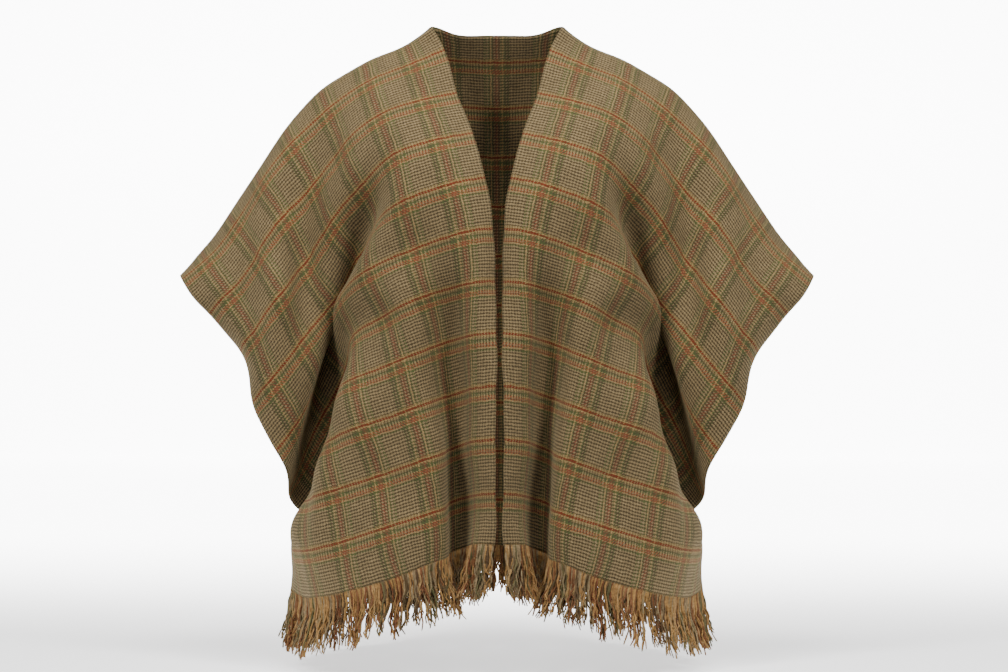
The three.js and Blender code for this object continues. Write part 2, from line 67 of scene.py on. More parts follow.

# %% [markdown]
# ## Fold points
#
# A draped panel can be described by where its fold lines run in space. Each row below is one fold line at a
# distance u from the front edge, and each of its points is (v, x, y, z). A cloth simulation could find folds
# by itself, but never the ones in the photograph, so the fold lines are given one by one and the cloth is
# then relaxed onto them. A row may hold the cloth more firmly than the others.

# %% Fold tables
# (fold, u, firm, points)
FRONT_FOLDS = [
    ("front edge", 0, 2.2, [(0, -82, -6, 0), (102, -51, -51, -87), (230, -15, -112, -195),
                            (294, -7, -126, -256), (358, -4, -137, -320), (422, -3, -153, -382),
                            (486, -3, -165, -445), (550, -3, -172, -508), (614, -3, -176, -572),
                            (676, -3, -178, -634)]),
    ("near lip of the front fold", 42, 1, [(294, -37, -135, -263), (422, -33, -152, -387),
                                           (550, -31, -158, -510), (676, -28, -164, -635)]),
    ("bottom of the front fold", 86, 1, [(422, -56, -104, -392), (550, -46, -98, -519),
                                         (676, -42, -98, -645)]),
    ("far lip of the front fold", 132, 1, [(422, -84, -139, -402), (550, -60, -146, -526),
                                           (676, -60, -150, -651)]),
    ("base of the neck", 50, 1, [(0, -117, -5, -26)]),
    ("chest", 108, 1, [(0, -161, -2, -42), (38, -157, -31, -70), (102, -143, -74, -117),
                       (166, -125, -105, -167), (230, -113, -123, -225), (294, -97, -121, -282),
                       (358, -84, -133, -336)]),
    ("shoulder point", 172, 1, [(0, -217, 4, -72), (38, -211, -26, -105), (102, -191, -61, -155),
                                (166, -166, -81, -204), (230, -148, -86, -253), (294, -155, -113, -307),
                                (358, -128, -121, -361), (422, -116, -138, -415), (550, -89, -162, -534),
                                (676, -76, -162, -656)]),
    ("top of the arm", 236, 1, [(0, -263, 12, -122), (38, -256, -22, -145), (102, -225, -38, -200),
                                (166, -207, -69, -250), (230, -174, -47, -293), (294, -191, -71, -337),
                                (358, -176, -88, -383), (422, -170, -113, -437), (550, -137, -143, -552),
                                (676, -114, -168, -672)]),
    ("arm", 300, 1, [(0, -303, 16, -183), (38, -296, -18, -196), (102, -262, -53, -238),
                     (166, -234, -43, -296), (230, -204, -57, -347), (486, -201, -107, -515),
                     (550, -194, -125, -571), (676, -172, -146, -690)]),
    ("elbow", 364, 1, [(0, -338, 20, -235), (38, -330, -13, -245), (102, -290, -52, -288),
                       (166, -260, -85, -333), (230, -240, -67, -393), (294, -220, -47, -443),
                       (550, -225, -82, -588), (676, -218, -102, -702)]),
    ("cuff fold", 428, 1, [(0, -371, 23, -279), (38, -363, -10, -288), (102, -330, -50, -334),
                           (166, -295, -75, -381), (230, -272, -94, -438), (294, -242, -81, -496),
                           (614, -248, -40, -654)]),
    ("cuff edge", 470, 1.8, [(0, -394, 22, -309), (38, -390, -10, -314), (102, -355, -34, -356),
                             (166, -314, -56, -401), (198, -301, -62, -430), (230, -301, -78, -481),
                             (294, -268, -90, -540), (358, -258, -62, -588), (410, -256, -38, -622),
                             (602, -254, 0, -630), (640, -255, 0, -668), (676, -257, 0, -703)]),
    ("side below the sleeve", 438, 1, [(576, -248, -38, -614), (640, -251, -28, -672)]),
    ("body side of the sleeve fold", 271, 1, [(422, -196, -96, -452)]),
    ("body side of the sleeve fold", 318, 1, [(486, -212, -90, -522)]),
    ("body side of the sleeve fold", 388, 1, [(550, -236, -58, -594)]),
    ("inside the sleeve fold", 300, 1, [(294, -213, -27, -380), (358, -187, -41, -425)]),
    ("inside the sleeve fold", 364, 1, [(358, -213, -28, -480)]),
    ("inside the sleeve fold", 428, 1, [(358, -238, -44, -540)]),
    ("root of the sleeve fold", 335, 1, [(400, -168, -40, -473)]),
    ("root of the sleeve fold", 400, 1, [(440, -155, -44, -547)]),
    ("root of the sleeve fold", 470, 1.6, [(492, -172, -42, -604), (548, -208, -24, -616)]),
]

# (place, u, v, reach along u, reach along v, move in x, move in z)
RIGHT_DIFFERENCES = [
    ("front edge below the chest", 0, 520, 90, 300, 8, 0),
    ("far lip of the front fold", 120, 560, 60, 200, 7, -3),
    ("cuff edge", 470, 166, 90, 90, 7, 0),
    ("body side of the sleeve fold", 318, 486, 90, 90, -4, 3),
    ("chest", 150, 230, 90, 110, 3, -4),
]

# the left half of the back, u from the middle: (fold, u, firm, points)
BACK_FOLDS = [
    ("middle of the back", 0, 1, [(0, 0, 28, -9), (60, 0, 58, -61), (150, 0, 92, -144),
                                  (300, 0, 120, -291), (450, 0, 146, -439), (676, 0, 172, -662)]),
    ("first hollow", 72, 1, [(150, -66, 84, -144), (300, -58, 96, -292), (450, -46, 102, -440),
                             (676, -32, 108, -663)]),
    ("first ridge", 122, 1, [(150, -110, 83, -148), (300, -97, 112, -295), (450, -76, 134, -442),
                             (676, -55, 154, -666)]),
    ("second hollow", 176, 1, [(150, -147, 70, -158), (300, -132, 92, -303), (450, -110, 96, -448),
                               (676, -84, 106, -670)]),
    ("second ridge", 250, 1, [(102, -194, 60, -150), (166, -184, 82, -204), (300, -172, 108, -320),
                              (450, -148, 140, -461), (676, -118, 172, -678)]),
    ("third hollow", 318.5, 1, [(38, -252, 44, -144), (102, -228, 64, -197), (166, -208, 76, -250),
                                (300, -197, 66, -350), (450, -178, 94, -478), (676, -148, 112, -687)]),
    ("third ridge", 382.5, 1, [(38, -296, 50, -196), (102, -262, 72, -240), (166, -236, 74, -295),
                               (230, -214, 66, -344), (486, -204, 112, -517), (676, -180, 150, -692)]),
    ("back of the elbow", 446.5, 1, [(38, -330, 53, -245), (102, -291, 80, -290), (166, -261, 94, -337),
                                     (230, -240, 82, -395), (294, -221, 58, -445), (550, -226, 84, -588),
                                     (676, -218, 104, -703)]),
    ("back cuff fold", 510.5, 1, [(38, -363, 56, -288), (102, -328, 82, -335), (166, -293, 94, -384),
                                  (230, -270, 98, -441), (294, -242, 84, -497), (614, -248, 40, -655)]),
    ("back cuff edge", 552.5, 1, [(38, -388, 54, -316), (102, -352, 76, -362), (166, -311, 84, -408),
                                  (230, -292, 88, -474), (294, -266, 86, -534), (358, -257, 62, -586),
                                  (410, -255, 40, -622), (602, -254, 0, -630), (676, -257, 0, -703)]),
    ("back side below the sleeve", 520.5, 1, [(576, -248, 38, -614), (640, -251, 28, -673)]),
    ("inside the back sleeve fold", 382.5, 1, [(294, -213, 36, -382), (358, -190, 46, -426)]),
    ("inside the back sleeve fold", 446.5, 1, [(358, -213, 36, -480)]),
    ("inside the back sleeve fold", 510.5, 1, [(358, -238, 48, -540)]),
    ("root of the back sleeve fold", 482.5, 1, [(440, -176, 60, -545)]),
    ("root of the back sleeve fold", 552.5, 1.6, [(492, -174, 48, -604), (548, -208, 28, -616)]),
]


def gather(folds):
    """Fold rows as arrays: flat places (u, v), points in space, and how firmly each holds."""
    places = []
    points = []
    firm = []
    for name, u, hold, row in folds:
        for v, x, y, z in row:
            places.append((u, v))
            points.append((x, y, z))
            firm.append(hold)
    return np.array(places, float), np.array(points, float), np.array(firm, float)


def mirrored(places, points, differences):
    """The same folds on the other side of the body, with the small differences added."""
    out = points * np.array([-1.0, 1.0, 1.0])
    for name, u, v, reach_u, reach_v, x, z in differences:
        far = ((places[:, 0] - u) / reach_u) ** 2 + ((places[:, 1] - v) / reach_v) ** 2
        out[:, 0] += x * np.exp(-far)
        out[:, 2] += z * np.exp(-far)
    return out


print("fold lines: front", len(FRONT_FOLDS), "back", len(BACK_FOLDS))

# %% [markdown]
# ## Relaxing the cloth
#
# The panel is a net of points. It starts as a smooth sheet through the fold points. Then, many times over,
# three things happen: each fold point pulls the cloth next to it, the cloth is smoothed a little, and every
# thread that has been stretched is drawn back to its woven length. Cloth resists stretching but gives way
# when it is pushed together, so a thread that is too short is only corrected a little.
#
# Blender's own cloth tool does the same sort of sums. Doing them here keeps the shape repeatable, and the
# whole garment takes a few seconds.

# %% The relaxing steps
ROUNDS = 260
SETTLE_ROUNDS = 30
PULL = 0.4
DEPTH_SHARE = 0.45
STRETCH_SHARE = 0.9
SLACK_SHARE = 0.12
SHEAR_SHARE = 0.12
SMOOTH_SHARE = 0.03
SHEET_SOFTNESS = 200.0


def bend(r):
    return r * r * np.log(r + 1e-9)


def first_sheet(places, points, line_u, line_v):
    """Thin smooth sheet through all fold points."""
    n = len(places)
    gaps = np.hypot(places[:, None, 0] - places[None, :, 0], places[:, None, 1] - places[None, :, 1])
    flat = np.column_stack([np.ones(n), places])
    matrix = np.zeros((n + 3, n + 3))
    matrix[:n, :n] = bend(gaps) + np.eye(n) * SHEET_SOFTNESS
    matrix[:n, n:] = flat
    matrix[n:, :n] = flat.T
    right = np.zeros((n + 3, 3))
    right[:n] = points
    weights = np.linalg.solve(matrix, right)
    u, v = np.meshgrid(line_u, line_v, indexing="ij")
    reach = bend(np.hypot(u[..., None] - places[:, 0], v[..., None] - places[:, 1]))
    plane = np.stack([np.ones_like(u), u, v], axis=-1)
    return reach @ weights[:n] + plane @ weights[n:]


def keep_length(a, b, length, share):
    """Draws the points of a and b towards each other where they are too far apart."""
    d = b - a
    now = np.maximum(np.linalg.norm(d, axis=-1), 1e-6)
    give = np.where(now > length, 1.0, SLACK_SHARE)
    step = d * (((now - length) / now) * 0.5 * share * give)[..., None]
    a += step
    b -= step


def second_difference(net):
    out = np.zeros_like(net)
    out[1:-1] += net[2:] + net[:-2] - 2 * net[1:-1]
    out[:, 1:-1] += net[:, 2:] + net[:, :-2] - 2 * net[:, 1:-1]
    return out


def drape(places, points, firm, line_u, line_v, pins=()):
    """The relaxed net, as an array of len(line_u) by len(line_v) points."""
    net = first_sheet(places, points, line_u, line_v)
    du = np.diff(line_u)[:, None]
    dv = np.diff(line_v)[None, :]
    slant = np.hypot(du, dv)
    i = np.clip(np.searchsorted(line_u, places[:, 0], side="right") - 1, 0, len(line_u) - 2)
    j = np.clip(np.searchsorted(line_v, places[:, 1], side="right") - 1, 0, len(line_v) - 2)
    a = (places[:, 0] - line_u[i]) / (line_u[i + 1] - line_u[i])
    b = (places[:, 1] - line_v[j]) / (line_v[j + 1] - line_v[j])
    corners = [(i, j, (1 - a) * (1 - b)), (i + 1, j, a * (1 - b)), (i, j + 1, (1 - a) * b),
               (i + 1, j + 1, a * b)]
    by_axis = np.array([1.0, DEPTH_SHARE, 1.0])
    for step in range(ROUNDS):
        pull = PULL if step < ROUNDS / 2 else PULL * 0.5
        now = sum(share[:, None] * net[p, q] for p, q, share in corners)
        moves = (points - now) * pull * firm[:, None] * by_axis
        for p, q, share in corners:
            np.add.at(net, (p, q), moves * share[:, None])
        net -= SMOOTH_SHARE * second_difference(second_difference(net))
        for again in range(3):
            for s in (0, 1):
                keep_length(net[s:-1:2], net[s + 1::2], du[s::2], STRETCH_SHARE)
                keep_length(net[:, s:-1:2], net[:, s + 1::2], dv[:, s::2], STRETCH_SHARE)
            for s in (0, 1):
                keep_length(net[s:-1:2, :-1], net[s + 1::2, 1:], slant[s::2], SHEAR_SHARE)
                keep_length(net[s:-1:2, 1:], net[s + 1::2, :-1], slant[s::2], SHEAR_SHARE)
        for p, q, at in pins:
            net[p, q] = at
    for step in range(SETTLE_ROUNDS):
        net -= SMOOTH_SHARE * second_difference(second_difference(net))
        for p, q, at in pins:
            net[p, q] = at
    return net


print("relaxing in", ROUNDS, "rounds")

# %% [markdown]
# ## Draping the three panels
#
# The two fronts are draped first. The right front is the left one turned over, with small differences so
# that the garment doesn't look stamped. The back is pinned to both along the shoulder seams and along the
# short side seams, as a maker would pin it before sewing.

# %% Drape the panels
line_v = np.linspace(0, PANEL_LENGTH, LENGTH_CELLS + 1)
line_u = np.linspace(0, FRONT_WIDTH, FRONT_CELLS + 1)
half_neck = NECK_WIDTH / 2
back_line = np.concatenate([
    np.linspace(-half_neck - FRONT_WIDTH, -half_neck, FRONT_CELLS + 1),
    np.linspace(-half_neck, half_neck, NECK_CELLS + 1)[1:],
    np.linspace(half_neck, half_neck + FRONT_WIDTH, FRONT_CELLS + 1)[1:],
])
side_start = int(np.argmax(line_v >= SIDE_SEAM_TOP - 1))

front_places, left_points, front_firm = gather(FRONT_FOLDS)
left_net = drape(front_places, left_points, front_firm, line_u, line_v)
right_points = mirrored(front_places, left_points, RIGHT_DIFFERENCES)
right_net = drape(front_places, right_points, front_firm, line_u, line_v)

half_places, half_points, half_firm = gather(BACK_FOLDS)
other = half_places[:, 0] > 0
back_places = np.concatenate([half_places * [-1, 1], half_places[other]])
back_points = np.concatenate([half_points, half_points[other] * [-1, 1, 1]])
back_firm = np.concatenate([half_firm, half_firm[other]])
seam = np.arange(FRONT_CELLS + 1)
side = np.arange(side_start, LENGTH_CELLS + 1)
last_line = len(back_line) - 1
pins = [
    (FRONT_CELLS - seam, 0, left_net[seam, 0].copy()),
    (FRONT_CELLS + NECK_CELLS + seam, 0, right_net[seam, 0].copy()),
    (0, side, left_net[FRONT_CELLS, side].copy()),
    (last_line, side, right_net[FRONT_CELLS, side].copy()),
]
back_net = drape(back_places, back_points, back_firm, back_line, line_v, pins)
for name, net in (("left", left_net), ("right", right_net), ("back", back_net)):
    print(name, "from", net.min(axis=(0, 1)).round(), "to", net.max(axis=(0, 1)).round())

# %% [markdown]
# ## From net to cloth
#
# The net has a line about every 10 mm. A smooth curve through the net points gives more lines, and then soft
# creases are laid on top. Each crease is a line across the flat cloth with a width and a height: positive
# rises out of the cloth and negative sinks in. They are short and uneven on purpose, since even ripples look
# like a stamped sheet.

# %% Refine and crease
TIMES_U = 3
TIMES_V = 2
# the creases on one side are a little lower, so that the halves aren't alike
BACK_RIGHT_SHARE = 0.8
FRONT_RIGHT_SHARE = 0.85
# (u from, v from, u to, v to, width, height)
FRONT_CREASES = [
    (150, 30, 236, 330, 20, -3.2),
    (205, 24, 292, 250, 16, 2.6),
    (262, 30, 330, 300, 17, -3.0),
    (320, 22, 372, 225, 15, 2.4),
    (392, 34, 420, 250, 15, -2.6),
    (440, 60, 448, 210, 13, 1.8),
    (64, 70, 52, 300, 18, -1.8),
    (24, 330, 22, 640, 13, 1.5),
    (118, 250, 150, 470, 20, 2.2),
    (182, 400, 176, 660, 22, -3.4),
    (226, 430, 240, 668, 19, 2.8),
    (268, 440, 300, 672, 20, -3.2),
    (326, 520, 342, 670, 18, 2.4),
    (390, 590, 396, 672, 15, -2.0),
]
BACK_CREASES = [
    (30, 20, 34, 180, 22, 1.6),
    (150, 20, 214, 260, 20, -2.6),
    (230, 24, 300, 240, 18, 2.4),
    (318, 30, 372, 250, 18, -2.6),
    (402, 26, 452, 260, 17, 2.4),
    (474, 34, 500, 250, 16, -2.4),
    (100, 380, 92, 650, 18, 1.8),
    (214, 420, 206, 668, 18, -2.2),
    (350, 470, 356, 668, 18, 2.0),
]


def refine(net, times, axis):
    """More lines along one axis, on a smooth curve through the lines that are there."""
    g = np.moveaxis(net, axis, 0)
    e = np.concatenate([[2 * g[0] - g[1]], g, [2 * g[-1] - g[-2]]])
    p0, p1, p2, p3 = e[:-3], e[1:-2], e[2:-1], e[3:]
    out = np.zeros(((len(g) - 1) * times + 1,) + g.shape[1:])
    for k in range(times):
        t = k / times
        out[k::times][:len(g) - 1] = 0.5 * (
            2 * p1 + (p2 - p0) * t + (2 * p0 - 5 * p1 + 4 * p2 - p3) * t * t
            + (3 * p1 - p0 - 3 * p2 + p3) * t * t * t)
    out[-1] = g[-1]
    return np.moveaxis(out, 0, axis)


def fine(net):
    return refine(refine(net, TIMES_U, 0), TIMES_V, 1)


def normals_of(net, turn):
    """Outward normals, pointing away from the wearer."""
    n = np.cross(np.gradient(net, axis=0), np.gradient(net, axis=1)) * turn
    return n / np.maximum(np.linalg.norm(n, axis=-1), 1e-9)[..., None]


def crease_height(u, v, creases):
    """Height of all creases at the flat places u, v."""
    total = np.zeros_like(u)
    for u0, v0, u1, v1, width, height in creases:
        along = np.array([u1 - u0, v1 - v0], float)
        length = np.hypot(*along)
        along /= length
        t = ((u - u0) * along[0] + (v - v0) * along[1]) / length
        bow = 0.06 * length * np.sin(np.clip(t, 0, 1) * math.pi)
        across = (u - u0) * along[1] - (v - v0) * along[0] - bow
        ends = np.clip(np.minimum(t, 1 - t) * 3.2, 0, 1)
        ends = ends * ends * (3 - 2 * ends)
        total += height * ends * np.exp(-(across / width) ** 2)
    return total


fine_u = refine(line_u[:, None], TIMES_U, 0)[:, 0]
fine_v = refine(line_v[:, None], TIMES_V, 0)[:, 0]
fine_back_u = refine(back_line[:, None], TIMES_U, 0)[:, 0]
panels = {
    "front_left": dict(net=fine(left_net), turn=1, u=fine_u, creases=FRONT_CREASES, shift=0.0),
    "front_right": dict(net=fine(right_net), turn=-1, u=fine_u, creases=FRONT_CREASES, shift=0.0),
    "back": dict(net=fine(back_net), turn=1, u=fine_back_u, creases=BACK_CREASES, shift=44.0),
}
for name, panel in panels.items():
    panel["normals"] = normals_of(panel["net"], panel["turn"])
    panel["flat"] = np.meshgrid(panel["u"], fine_v, indexing="ij")

seam_lines = FRONT_CELLS * TIMES_U
neck_lines = NECK_CELLS * TIMES_U
side_lines = side_start * TIMES_V
back_normals = panels["back"]["normals"]
for name, top, edge in (("front_left", slice(seam_lines, None, -1), 0),
                        ("front_right", slice(seam_lines + neck_lines, None), -1)):
    mine = panels[name]["normals"]
    both = mine[:, 0] + back_normals[top, 0][:seam_lines + 1]
    both /= np.linalg.norm(both, axis=-1)[:, None]
    mine[:, 0] = both
    back_normals[top, 0] = both
    both = mine[-1, side_lines:] + back_normals[edge, side_lines:]
    both /= np.linalg.norm(both, axis=-1)[:, None]
    mine[-1, side_lines:] = both
    back_normals[edge, side_lines:] = both

for name, panel in panels.items():
    u, v = panel["flat"]
    height = crease_height(np.abs(u), v, panel["creases"])
    if name == "back":
        height = np.where(u > 0, height * BACK_RIGHT_SHARE, height)
    if name == "front_right":
        height *= FRONT_RIGHT_SHARE
    panel["net"] = panel["net"] + panel["normals"] * height[..., None]
print("fine net", {name: panel["net"].shape for name, panel in panels.items()})

# %% [markdown]
# ## Building the cloth meshes
#
# Each panel becomes a thin shell: the net moved out and in by half the cloth's thickness, with a rim all
# round. The flat coordinates are kept as the UV map, in metres of cloth, so that the check runs with the
# threads through every fold. That is how a woven check behaves, and no flat projection would do it.


# %% Cloth shells
def grid_faces(rows, cols, start, flip):
    """Corner numbers of all cells of a grid."""
    i, j = np.meshgrid(np.arange(rows - 1), np.arange(cols - 1), indexing="ij")
    a = start + i * cols + j
    quads = np.stack([a, a + cols, a + cols + 1, a + 1], axis=-1).reshape(-1, 4)
    return quads[:, ::-1] if flip else quads


def make_mesh(name, points, faces, uv, material):
    """A mesh object in metres from points in millimetres, with flat cloth places as its UV map."""
    mesh = bpy.data.meshes.new(name)
    mesh.from_pydata((points / 1000.0).tolist(), [], faces)
    layer = mesh.uv_layers.new(name="cloth")
    corners = np.zeros(len(mesh.loops), dtype=np.int32)
    mesh.loops.foreach_get("vertex_index", corners)
    layer.data.foreach_set("uv", (uv[corners] / 1000.0).astype(np.float32).ravel())
    mesh.polygons.foreach_set("use_smooth", np.ones(len(mesh.polygons), dtype=bool))
    mesh.materials.append(material)
    mesh.update()
    piece = bpy.data.objects.new(name, mesh)
    bpy.context.scene.collection.objects.link(piece)
    return piece


def shell(name, panel, material):
    net, normals = panel["net"], panel["normals"]
    rows, cols = net.shape[:2]
    outer = (net + normals * HALF_THICKNESS).reshape(-1, 3)
    inner = (net - normals * HALF_THICKNESS).reshape(-1, 3)
    layer = rows * cols
    flip = panel["turn"] < 0
    faces = np.concatenate([grid_faces(rows, cols, 0, flip),
                            grid_faces(rows, cols, layer, not flip)])
    loop = ([(i, 0) for i in range(rows - 1)] + [(rows - 1, j) for j in range(cols - 1)]
            + [(i, cols - 1) for i in range(rows - 1, 0, -1)] + [(0, j) for j in range(cols - 1, 0, -1)])
    rim = np.array([i * cols + j for i, j in loop])
    after = np.roll(rim, -1)
    around = np.stack([rim, rim + layer, after + layer, after], axis=-1)
    if flip:
        around = around[:, ::-1]
    u, v = panel["flat"]
    uv = np.stack([u.ravel() + panel["shift"], v.ravel()], axis=-1)
    faces = np.concatenate([faces, around]).tolist()
    return make_mesh(name, np.concatenate([outer, inner]), faces, np.concatenate([uv, uv]), material)


# %% [markdown]
# ## The glen check
#
# A glen check is made by the order of coloured threads, warp across and weft down, in a two-by-two twill.
# The shader does the same: one group gives the colour of the warp thread at a place across the cloth, one
# the colour of the weft thread at a place down the cloth, and the twill decides which of them lies on top.
# Bands of light and dark threads, two by two, then make the small broken checks by themselves.
#
# The repeat is 64 mm both ways. Colours are written as ordinary screen values and turned into light values.

# %% Thread colours
REPEAT = 64.0
THREAD = 1.0
# how far a thread strays from its straight line, in mm
THREAD_WANDER = 3.2
# the thin rust line floats over most of the warp
LINE_FROM = 35.0
LINE_TO = 41.0
LIGHT_THREAD = (134, 114, 80)
DARK_THREAD = (66, 56, 38)
OLIVE = (70, 76, 42)
TAN = (146, 120, 76)
BROWN = (88, 62, 40)
# (from in mm within the repeat, colour)
WARP_ORDER = [
    (0, None),
    (27, OLIVE),
    (30, None),
    (32, OLIVE),
    (35, TAN),
    (37, OLIVE),
    (39, BROWN),
    (42, (112, 62, 44)),
    (45, BROWN),
    (48, OLIVE),
    (50, TAN),
    (52, OLIVE),
    (56, None),
    (58, OLIVE),
    (60, None),
]
WEFT_ORDER = [
    (0, None),
    (33, (116, 96, 58)),
    (35, TAN),
    (36.5, (102, 38, 16)),
    (39.5, TAN),
    (41.5, (98, 84, 52)),
    (44, OLIVE),
    (47.5, TAN),
    (49, (128, 70, 42)),
    (51, (128, 92, 62)),
    (52, (128, 70, 42)),
    (54, TAN),
    (55.5, OLIVE),
    (58.5, None),
]


def light(colour):
    """Screen values 0 to 255 as light values with alpha."""
    out = []
    for c in colour:
        s = c / 255.0
        out.append(s / 12.92 if s <= 0.04045 else ((s + 0.055) / 1.055) ** 2.4)
    return (*out, 1.0)


class Nodes:
    """Short helper that adds nodes to a tree and links them."""

    def __init__(self, tree):
        self.tree = tree

    def put(self, socket, value):
        if hasattr(value, "is_output"):
            self.tree.links.new(value, socket)
        elif value is not None:
            socket.default_value = value

    def math(self, operation, a, b=None, c=None):
        node = self.tree.nodes.new("ShaderNodeMath")
        node.operation = operation
        for socket, value in zip(node.inputs, (a, b, c)):
            self.put(socket, value)
        return node.outputs[0]

    def mix(self, share, a, b, blend="MIX"):
        node = self.tree.nodes.new("ShaderNodeMix")
        node.data_type = "RGBA"
        node.blend_type = blend
        self.put(node.inputs["Factor"], share)
        self.put(node.inputs[6], a)
        self.put(node.inputs[7], b)
        return node.outputs[2]

    def noise(self, place, scale, detail=2.0, rough=0.5):
        node = self.tree.nodes.new("ShaderNodeTexNoise")
        self.put(node.inputs["Vector"], place)
        node.inputs["Scale"].default_value = scale
        node.inputs["Detail"].default_value = detail
        node.inputs["Roughness"].default_value = rough
        return node.outputs["Fac"]


def new_group(name, inputs, outputs):
    group = bpy.data.node_groups.new(name, "ShaderNodeTree")
    for label, kind in inputs:
        group.interface.new_socket(name=label, in_out="INPUT", socket_type=kind)
    for label, kind in outputs:
        group.interface.new_socket(name=label, in_out="OUTPUT", socket_type=kind)
    source = group.nodes.new("NodeGroupInput")
    sink = group.nodes.new("NodeGroupOutput")
    return group, source, sink, Nodes(group)


def thread_group(name, order):
    """Colour of the thread at a place in millimetres, repeating."""
    group, source, sink, n = new_group(name, [("Place", "NodeSocketFloat")],
                                       [("Color", "NodeSocketColor"), ("Line", "NodeSocketFloat")])
    place = source.outputs["Place"]
    within = n.math("DIVIDE", n.math("FLOORED_MODULO", place, REPEAT), REPEAT)
    pair = n.math("FLOOR", n.math("DIVIDE", place, 2 * THREAD))
    even = n.math("FLOORED_MODULO", pair, 2.0)
    ground = n.mix(even, light(DARK_THREAD), light(LIGHT_THREAD))
    colours = group.nodes.new("ShaderNodeValToRGB")
    colours.color_ramp.interpolation = "CONSTANT"
    mask = group.nodes.new("ShaderNodeValToRGB")
    mask.color_ramp.interpolation = "CONSTANT"
    for ramp_node in (colours, mask):
        ramp = ramp_node.color_ramp
        while len(ramp.elements) < len(order):
            ramp.elements.new(0.5)
        for element, (start, colour) in zip(ramp.elements, order):
            element.position = start / REPEAT
            shown = (1.0, 1.0, 1.0, 1.0) if colour else (0.0, 0.0, 0.0, 1.0)
            element.color = (light(colour or (0, 0, 0))) if ramp_node is colours else shown
        group.links.new(within, ramp_node.inputs["Fac"])
    group.links.new(n.mix(mask.outputs["Color"], ground, colours.outputs["Color"]), sink.inputs["Color"])
    line = n.math("MULTIPLY", n.math("GREATER_THAN", within, LINE_FROM / REPEAT),
                  n.math("LESS_THAN", within, LINE_TO / REPEAT))
    group.links.new(line, sink.inputs["Line"])
    return group


warp_threads = thread_group("warp_threads", WARP_ORDER)
weft_threads = thread_group("weft_threads", WEFT_ORDER)
print("thread groups", warp_threads.name, weft_threads.name)

# %% [markdown]
# The weave group lays warp over weft in a two-by-two twill and adds what makes wool look like wool: the
# threads vary in thickness and colour, the edges of the threads are blurred by fibres, and the surface has a
# low relief. A noise that is stretched along each thread gives the streaks of woollen-spun yarn.


# %% The weave
def weave_group():
    group, source, sink, n = new_group(
        "tweed_weave", [("Cloth", "NodeSocketVector")],
        [("Color", "NodeSocketColor"), ("Height", "NodeSocketFloat")])
    parts = group.nodes.new("ShaderNodeSeparateXYZ")
    group.links.new(source.outputs["Cloth"], parts.inputs[0])
    sway = n.noise(source.outputs["Cloth"], 90.0, 3.0, 0.6)
    wander = n.math("MULTIPLY", n.math("SUBTRACT", sway, 0.5), THREAD_WANDER)
    across = n.math("ADD", n.math("MULTIPLY", parts.outputs["X"], 1000.0), wander)
    down = n.math("ADD", n.math("MULTIPLY", parts.outputs["Y"], 1000.0), wander)
    colours = []
    for tree, place in ((warp_threads, across), (weft_threads, down)):
        node = group.nodes.new("ShaderNodeGroup")
        node.node_tree = tree
        group.links.new(place, node.inputs["Place"])
        colours.append(node.outputs["Color"])
    weft_line = node.outputs["Line"]
    step = n.math("ADD", n.math("FLOOR", n.math("DIVIDE", across, THREAD)),
                  n.math("FLOOR", n.math("DIVIDE", down, THREAD)))
    weft_up = n.math("GREATER_THAN", n.math("FLOORED_MODULO", step, 4.0),
                     n.math("SUBTRACT", 1.5, weft_line))
    woven = n.mix(weft_up, colours[0], colours[1])
    stretched = []
    for scale in ((700.0, 150.0, 1.0), (150.0, 700.0, 1.0)):
        node = group.nodes.new("ShaderNodeVectorMath")
        node.operation = "MULTIPLY"
        group.links.new(source.outputs["Cloth"], node.inputs[0])
        node.inputs[1].default_value = scale
        stretched.append(n.noise(node.outputs[0], 1.0, 3.0, 0.6))
    streak = n.mix(weft_up, stretched[0], stretched[1])
    patch = n.noise(source.outputs["Cloth"], 24.0, 4.0, 0.6)
    tone = n.math("ADD", n.math("MULTIPLY", streak, 1.75), n.math("MULTIPLY", patch, 0.55))
    tone = n.math("SUBTRACT", tone, 0.22)
    toned = n.mix(1.0, woven, tone, "MULTIPLY")
    group.links.new(toned, sink.inputs["Color"])
    rounds = []
    for place in (across, down):
        share = n.math("FRACT", n.math("DIVIDE", place, THREAD))
        rounds.append(n.math("SINE", n.math("MULTIPLY", share, math.pi)))
    rounded = n.mix(weft_up, rounds[0], rounds[1])
    height = n.math("ADD", n.math("MULTIPLY", rounded, 0.55), n.math("MULTIPLY", streak, 0.6))
    group.links.new(height, sink.inputs["Height"])
    return group


def wool_material(name, weave, bump_distance, sheen):
    """Principled wool with the colour and relief of a group. Sheen stands for the loose surface fibres."""
    material = bpy.data.materials.new(name)
    material.use_nodes = True
    tree = material.node_tree
    shader = tree.nodes["Principled BSDF"]
    shader.inputs["Roughness"].default_value = 0.94
    shader.inputs["Specular IOR Level"].default_value = 0.2
    shader.inputs["Sheen Weight"].default_value = sheen
    shader.inputs["Sheen Roughness"].default_value = 0.55
    shader.inputs["Sheen Tint"].default_value = light((206, 190, 150))
    place = tree.nodes.new("ShaderNodeUVMap")
    place.uv_map = "cloth"
    node = tree.nodes.new("ShaderNodeGroup")
    node.node_tree = weave
    tree.links.new(place.outputs["UV"], node.inputs["Cloth"])
    tree.links.new(node.outputs["Color"], shader.inputs["Base Color"])
    bump = tree.nodes.new("ShaderNodeBump")
    bump.inputs["Strength"].default_value = 0.6
    bump.inputs["Distance"].default_value = bump_distance
    tree.links.new(node.outputs["Height"], bump.inputs["Height"])
    tree.links.new(bump.outputs["Normal"], shader.inputs["Normal"])
    return material


tweed = wool_material("tweed", weave_group(), 0.0006, 0.25)
cloth = {name: shell("cloth_" + name, panel, tweed) for name, panel in panels.items()}
print("cloth triangles", {name: 2 * len(piece.data.polygons) for name, piece in cloth.items()})

